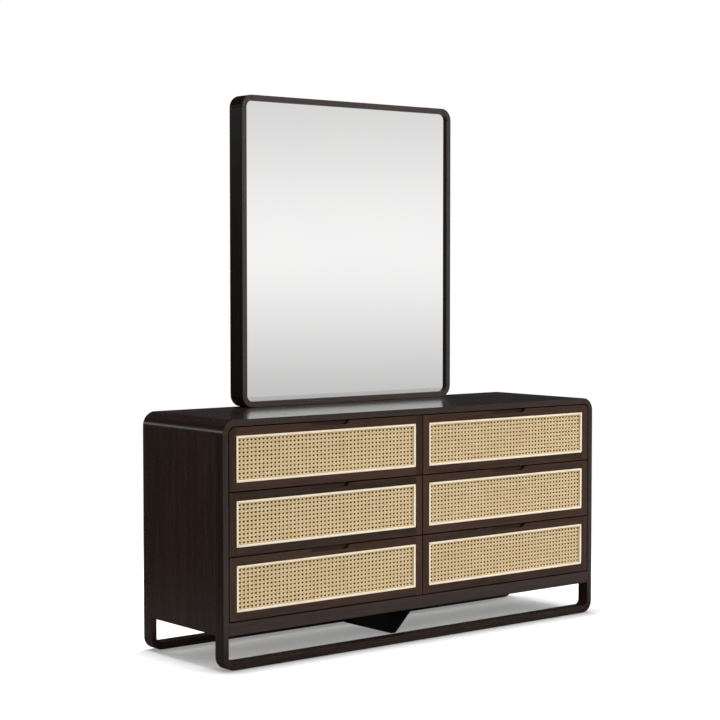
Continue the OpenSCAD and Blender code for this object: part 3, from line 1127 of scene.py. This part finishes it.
@dataclass
class Drawer:
    """One drawer: its framed front with cane and bead, its box and its runner members.

    The measures are in millimetres. The screws' shares are their places along a runner, and
    an edge, here and below, is the width of a piece's eased edges.
    """

    column: Column
    row: Row
    weave: bpy.types.Mesh
    stile_w: float = 27.0
    pocket_d: float = 8.0
    runner_t: float = 1.2
    screw_r: float = 3.6
    screw_t: float = 1.8
    screw_shares: Sequence[float] = (0.08, 0.5, 0.92)
    front_edge: float = 0.9
    bead_edge: float = 1.5
    box_edge: float = 0.6

    @property
    def name(self) -> str:
        """The start of the names of this drawer's nodes."""
        return f"{self.column.value}_{self.row.value}"

    @property
    def body(self) -> str:
        """The body that the drawer's pieces ride on."""
        return f"{self.name}_drawer"

    def build(self) -> None:
        """Builds every piece of the drawer."""
        self.make_front()
        Board(f"{self.name}_bead", self.body, "cream_bead", CREAM, self.bead_edge, 3).make()
        self.make_cane()
        Board(f"{self.name}_box", self.body, "drawer_birch", BIRCH, self.box_edge, 1).make()
        redress(f"{self.name}_runners", ZINC)
        redress(f"{self.name}_slides", ZINC)
        self.make_runner_screws()

    def make_front(self) -> None:
        """Makes the front: upright stiles, rails across between them, and the cane's backing."""
        node = f"{self.name}_front"
        low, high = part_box(node)
        stile = self.stile_w * MM
        inner = (low.x + stile, high.x - stile)
        seat_y = low.y + self.pocket_d * MM

        def grain(centre: Vector, _low: Vector, _high: Vector) -> Grain:
            """Stiles stand; all else lies."""
            between = inner[0] < centre.x < inner[1]
            return Grain.ACROSS if between else Grain.UPRIGHT

        def is_seat(centre: Vector, normal: Vector) -> bool:
            """Tells whether a face is the pocket's floor behind the cane."""
            return normal.y < -0.9 and abs(centre.y - seat_y) < 0.2 * MM

        cuts = [(0, place) for place in inner]
        # The pocket's floor takes the backing, whose darkened brown is painted shade.
        Board(
            node, self.body, "espresso_front", FRONT_WOOD, self.front_edge, grain=grain,
            cuts=cuts, second=SHADED_BACKING_WOOD, takes_second=is_seat,
        ).make()

    def make_cane(self) -> None:
        """Sets the woven sheet in the drawer's pocket."""
        node = f"{self.name}_cane"
        low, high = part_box(node)
        mesh = self.weave.copy()
        mesh.transform(Matrix.Translation((low + high) / 2))
        enter(new_object(f"{node}_weave", mesh), self.body, node)

    def make_runner_screws(self) -> None:
        """Makes the heads of the screws that hold both runner members to the box's sides."""
        name = f"{self.name}_runner_screws"
        boxes = sorted(plain_boxes(f"{self.name}_runners"), key=lambda box: box[0].x)
        work = bmesh.new()
        for side, (low, high) in zip((-1, 1), boxes):
            web_x = high.x - self.runner_t * MM if side < 0 else low.x + self.runner_t * MM
            top_x = web_x + side * self.screw_t * MM
            middle_z = (low.z + high.z) / 2
            length = high.y - low.y
            tops = [(top_x, low.y + length * share, middle_z) for share in self.screw_shares]
            turn = (0.0, side * math.pi / 2, 0.0)
            sizes = (self.screw_r * MM, self.screw_t * MM, 0.0)
            work.from_mesh(Screws(f"{name}_{side}", tops, turn, *sizes).mesh())
        whole = mesh_of(work, name)
        whole.materials.append(material_of(SCREW_ZINC))
        enter(new_object(name, whole), self.body)


@dataclass
class Case:
    """The case: top, rounded corners, sides, posts, floor loops, aprons and inside.

    The measures are in millimetres.
    """

    edge: float = 1.0
    inner_edge: float = 0.6
    foot_edge: float = 1.5

    def build(self) -> None:
        """Builds every piece; front and rear edges of the top and its corners match the posts."""
        # The top's face takes a lighter, greyer copy of the case wood, a painted sheen, and the
        # corners' rounding a darker one, a painted shade.
        for node, finish in (
            ("top_panel", TOP_WOOD_AND_SHEEN), ("left_corner_moulding", CORNER_SHADE_WOOD),
            ("right_corner_moulding", CORNER_SHADE_WOOD),
        ):
            Board(
                node, "case", "espresso_case", finish, self.edge,
                second=CASE_WOOD, takes_second=front_or_rear,
            ).make()
        for node in ("left_side_panel", "right_side_panel"):
            Board(node, "case", "espresso_case", SIDE_WOOD, self.edge).make()
        for node in ("front_posts", "rear_posts", "floor_rails", "floor_corners", "back_panel"):
            Board(node, "case", "espresso_case", CASE_WOOD, self.edge).make()
        Board("front_apron", "case", "espresso_front", APRON_WOOD, self.edge).make()
        Board("rear_apron", "case", "espresso_case", CASE_WOOD, self.edge).make()
        for node in ("bottom_panel", "centre_partition"):
            Board(node, "case", "drawer_birch", BIRCH, self.inner_edge, 1).make()
        # The foot's near black is painted shade.
        Board("centre_foot", "case", "black_foot", FOOT_SHADE_BLACK, self.foot_edge).make()
        redress("floor_glides", PLASTIC)
        redress("case_runners", ZINC)


@dataclass
class StandingMirror:
    """The mirror on the case's top, with the battens and screws that hold it.

    The measures are in millimetres.
    """

    edge: float = 1.3
    screw_head_t: float = 3.0

    def build(self) -> None:
        """Builds every piece of the mirror; the frame's outer and inner rims get a darker copy of
        its wood, a painted shade.
        """
        for node in ("mirror_bars", "mirror_corners"):
            Board(
                node, "case", "espresso_case", MIRROR_WOOD, self.edge,
                second=RIM_SHADE_WOOD, takes_second=all_round,
            ).make()
        for node in ("mirror_backing", "mirror_supports"):
            Board(node, "case", "espresso_case", CASE_WOOD, self.edge).make()
        redress("mirror_glass", SILVER)
        self.make_screws()

    def make_screws(self) -> None:
        """Makes cross-head screws at the places of the plain ones."""
        boxes = plain_boxes("support_screws")
        tops = [((low.x + high.x) / 2, high.y, (low.z + high.z) / 2) for low, high in boxes]
        low, high = boxes[0]
        sizes = ((high.x - low.x) / 2, self.screw_head_t * MM, high.y - low.y)
        mesh = Screws("batten_screws", tops, (-math.pi / 2, 0.0, 0.0), *sizes).mesh()
        piece = new_object("support_screws_dressed", mesh)
        enter(piece, "case", "support_screws")


@dataclass(frozen=True)
class Lamp:
    """A soft lamp that gloss doesn't show; its size is in metres and its power in watts."""

    name: str
    at: Triple
    aim: Triple
    size: tuple[float, float]
    power: float

    def make(self) -> bpy.types.Object:
        """Puts the lamp in the scene.

        Returns:
            The lamp's object.
        """
        lamp = bpy.data.lights.new(self.name, "AREA")
        lamp.shape = "RECTANGLE"
        lamp.size, lamp.size_y = self.size
        lamp.energy = self.power
        holder = bpy.data.objects.new(self.name, lamp)
        bpy.context.scene.collection.objects.link(holder)
        holder.location = self.at
        ray = Vector(self.aim) - Vector(self.at)
        holder.rotation_euler = ray.to_track_quat("-Z", "Y").to_euler()
        holder.visible_glossy = False
        return holder


LAMPS = (
    Lamp("key_lamp", (2.4, -4.3, 2.6), (0.0, 0.0, 0.8), (2.6, 2.0), 160.0),
    Lamp("left_lamp", (-5.2, -0.6, 1.5), (-0.8, 0.0, 0.6), (1.6, 2.2), 48.0),
    Lamp("back_lamp", (-1.2, 4.6, 3.6), (0.0, 0.2, 0.8), (2.6, 2.0), 130.0),
)
FLOOR_LAMP = Lamp("floor_lamp", (0.0, 0.42, 10.0), (0.0, 0.42, 0.0), (3.0, 1.3), 3300.0)


@dataclass
class Floor:
    """The pale round floor, which keeps the table's shadow and fades out to white.

    Lengths are in metres. The lift is the floor's own light, the shade its paint's, the dim the
    share of its bounced light that is held back, and the veil the light that stands in for what
    is held back. A band goes from the place where a change begins to the one where it ends.
    """

    radius: float = 7.0
    level: float = -0.0004
    sides: int = 96
    lift: float = 0.25
    shade: float = 0.28
    dim: float = 0.7
    veil: float = 0.03
    front_band: Band = (-1.0, -0.3)
    white_band: Band = (1.2, 2.4)
    mirror_band: Band = (2.5, 7.0)

    def make(self) -> bpy.types.Object:
        """Puts the floor in the scene.

        Returns:
            The floor.
        """
        work = bmesh.new()
        bmesh.ops.create_circle(work, cap_ends=True, segments=self.sides, radius=self.radius)
        bmesh.ops.translate(work, verts=work.verts, vec=(0.0, 0.0, self.level))
        mesh = mesh_of(work, "floor")
        mesh.materials.append(self.paint())
        floor = new_object("floor", mesh)
        return floor

    def paint(self) -> bpy.types.Material:
        """Builds the floor's material: paint near the table, white light farther out.

        Gloss sees the front half alone, dimmer with distance, so that the mirror shows no edge.

        Returns:
            The material.
        """
        material = bpy.data.materials.new("pale_floor")
        material.use_nodes = True
        graph = Graph(material.node_tree)
        place = graph.position()
        _, deep, _ = place.parts()
        away = place.length()
        front = deep.ramp(*self.front_band, 1.0, 0.0)
        gloss = graph.ray("Glossy")
        mirrored = gloss * front * away.ramp(*self.mirror_band, 1.0, 0.5)
        seen = (graph.ray("Camera", "Transmission") + mirrored).least(1.0)
        paint = graph.out("ShaderNodeBsdfDiffuse", {"Color": (*[self.shade] * 3, 1.0)})
        lift = graph.out("ShaderNodeEmission", {"Strength": seen * self.lift})
        both = graph.out("ShaderNodeAddShader", {0: paint, 1: lift})
        dim = graph.out("ShaderNodeEmission", {"Strength": self.veil})
        bounce = graph.ray("Diffuse") * self.dim
        hidden = bounce * (1.0 - front * 0.4) + gloss * (1.0 - front) * 0.9
        near = graph.out("ShaderNodeMixShader", {0: hidden, 1: both, 2: dim})
        white = graph.out("ShaderNodeEmission", {"Strength": seen})
        whiter = away.ramp(*self.white_band)
        mixed = graph.out("ShaderNodeMixShader", {0: whiter, 1: near, 2: white})
        graph.add("ShaderNodeOutputMaterial", {"Surface": mixed})
        return material


@dataclass
class Room:
    """The surroundings: plain white to the camera, a dim room to light and gloss.

    The room is bright in front, dark behind but for a strip on the left, and has a ceiling. A
    band goes from where a change begins to where it ends. It is measured on a direction of
    length 1: along y for the front, along x for the sides and along z for the height.
    """

    dark_wall: float = 0.025
    strip_light: float = 1.6
    ceiling_light: float = 1.1
    front_band: Band = (-0.3, 0.15)
    right_band: Band = (-0.75, 0.1)
    ground_band: Band = (-0.1, 0.012)
    fall_band: Band = (0.012, 0.11)
    strip_foot: Band = (0.07, 0.11)
    strip_head: Band = (0.17, 0.24)
    strip_side: Band = (-0.5, -0.2)
    ceiling_band: Band = (0.7, 0.85)

    def make(self) -> None:
        """Makes the room the scene's world; camera rays and see-through ones see it white."""
        world = bpy.data.worlds.new("studio")
        bpy.context.scene.world = world
        world.use_nodes = True
        graph = Graph(world.node_tree)
        way = Arrow(graph, graph.add("ShaderNodeTexCoord").outputs["Generated"])
        x, y, z = way.parts()
        front = y.ramp(*self.front_band, 1.0, 0.0)
        right = x.ramp(*self.right_band, 0.95, 1.0)
        low = z.ramp(*self.ground_band, 0.5, 1.0)
        fall = z.ramp(*self.fall_band, 0.0, 0.27)
        height = z.ramp(*self.strip_foot) * z.ramp(*self.strip_head, 1.0, 0.0)
        strip = height * x.ramp(*self.strip_side, 1.0, 0.0)
        ceiling = z.ramp(*self.ceiling_band) * self.ceiling_light
        behind = (1.0 - front) * (self.dark_wall + strip * self.strip_light)
        walls = front * right * (low - fall) + behind
        plain = {"Color": (1.0, 1.0, 1.0, 1.0)}
        room = graph.out("ShaderNodeBackground", {**plain, "Strength": walls.most(ceiling)})
        white = graph.out("ShaderNodeBackground", plain)
        seen = graph.ray("Camera", "Transmission").least(1.0)
        shown = graph.out("ShaderNodeMixShader", {0: seen, 1: room, 2: white})
        graph.add("ShaderNodeOutputWorld", {"Surface": shown})


@dataclass
class Camera:
    """The camera, where the picture was taken from.

    Its place and its reach are in metres, its angles in degrees, and the lens and the sensor in
    millimetres.
    """

    at: Triple = (-3.9511, -4.7838, 1.2194)
    yaw: float = 39.002
    pitch: float = 2.762
    lens: float = 91.65
    sensor: float = 36.0
    reach: float = 200.0

    def make(self) -> None:
        """Puts the camera in the scene and makes it the scene's own."""
        camera = bpy.data.cameras.new("camera")
        camera.lens = self.lens
        camera.sensor_width = self.sensor
        camera.clip_end = self.reach
        holder = bpy.data.objects.new("camera", camera)
        bpy.context.scene.collection.objects.link(holder)
        holder.location = self.at
        yaw = math.radians(self.yaw)
        pitch = math.radians(self.pitch)
        level = math.cos(pitch)
        ahead = Vector((math.sin(yaw) * level, math.cos(yaw) * level, -math.sin(pitch)))
        holder.rotation_euler = ahead.to_track_quat("-Z", "Y").to_euler()
        bpy.context.scene.camera = holder


@dataclass
class Studio:
    """The floor, the room, the lamps and the camera."""

    floor: Floor = field(default_factory=Floor)
    room: Room = field(default_factory=Room)
    camera: Camera = field(default_factory=Camera)

    def build(self) -> None:
        """Builds the whole studio."""
        ground = self.floor.make()
        self.room.make()
        for lamp in LAMPS:
            lamp.make()
        self.light_floor(ground)
        self.camera.make()
        bpy.context.scene.view_settings.view_transform = "Standard"

    @staticmethod
    def light_floor(ground: bpy.types.Object) -> None:
        """Adds a lamp overhead that lights the floor alone, so that the shadow stays close.

        Args:
            ground: the floor's object.
        """
        lit = bpy.data.collections.new("lit_floor")
        lit.objects.link(ground)
        FLOOR_LAMP.make().light_linking.receiver_collection = lit


def weave_cane(bead_w: float = 8.0) -> bpy.types.Mesh:
    """Weaves the sheet that all six drawers share.

    Args:
        bead_w: the width of the bead's strips, in millimetres.

    Returns:
        The sheet, about the origin.
    """
    low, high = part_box("left_top_cane")
    bead_low, bead_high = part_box("left_top_bead")
    rim = 2 * bead_w * MM
    return CaneWeave(
        high.x - low.x, high.z - low.z,
        bead_high.x - bead_low.x - rim, bead_high.z - bead_low.z - rim,
    ).mesh()


def main() -> None:
    """Builds the studio and then the table's parts in order."""
    logging.basicConfig(level=logging.INFO, format="%(message)s")
    Studio().build()
    Case().build()
    StandingMirror().build()
    weave = weave_cane()
    for column in Column:
        for row in Row:
            Drawer(column, row, weave).build()


if __name__ == "__main__":
    main()
